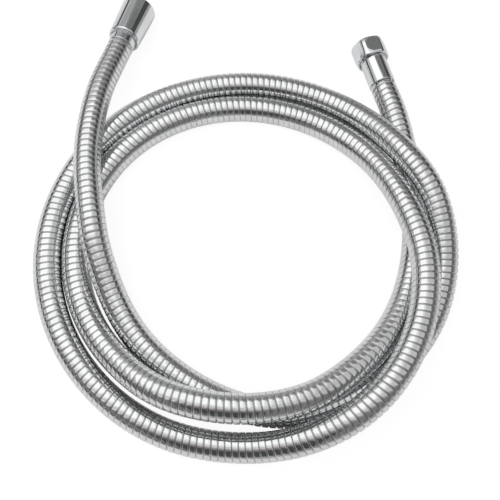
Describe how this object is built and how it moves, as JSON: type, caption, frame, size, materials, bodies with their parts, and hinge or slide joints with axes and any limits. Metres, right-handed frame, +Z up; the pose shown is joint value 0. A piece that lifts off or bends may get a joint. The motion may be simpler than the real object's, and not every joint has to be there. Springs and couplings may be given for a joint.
{
  "type": "shower hose",
  "caption": "Flexible metal shower hose lying in a loose coil, with a hexagonal union nut at one end and a smooth conical union nut at the other.",
  "frame": {"origin": "on the surface that the hose lies on, below the middle of its box", "axes": "+Z up, +Y towards the two ends, +X to the right, with the conical nut at the left and the hexagonal nut at the right"},
  "size_m": [0.2606, 0.3123, 0.0351],
  "materials": {
    "armour_steel": "bright polished strip-wound stainless steel",
    "fitting_chrome": "polished chrome plate on brass",
    "tail_brass": "turned brass",
    "hose_rubber": "smooth black rubber tube",
    "washer_rubber": "flat black rubber"
  },
  "bodies": {
    "root": {"armour": "armour_steel", "inner_hose": "hose_rubber", "cone_ferrule": "fitting_chrome", "cone_tail": "tail_brass", "hex_ferrule": "fitting_chrome", "hex_tail": "tail_brass"},
    "cone_union": {"cone_nut": "fitting_chrome", "cone_washer": "washer_rubber"},
    "hex_union": {"hex_nut": "fitting_chrome", "hex_washer": "washer_rubber"}
  },
  "joints": [
    {"name": "cone_nut_spin", "type": "hinge", "parent": "root", "child": "cone_union", "pos_m": [-0.07919, 0.13905, 0.01402], "axis": [0.2554, 0.9533, -0.1612], "continuous": true},
    {"name": "hex_nut_spin", "type": "hinge", "parent": "root", "child": "hex_union", "pos_m": [0.08811, 0.11286, 0.011], "axis": [-0.2588, 0.9659, 0], "continuous": true}
  ]
}
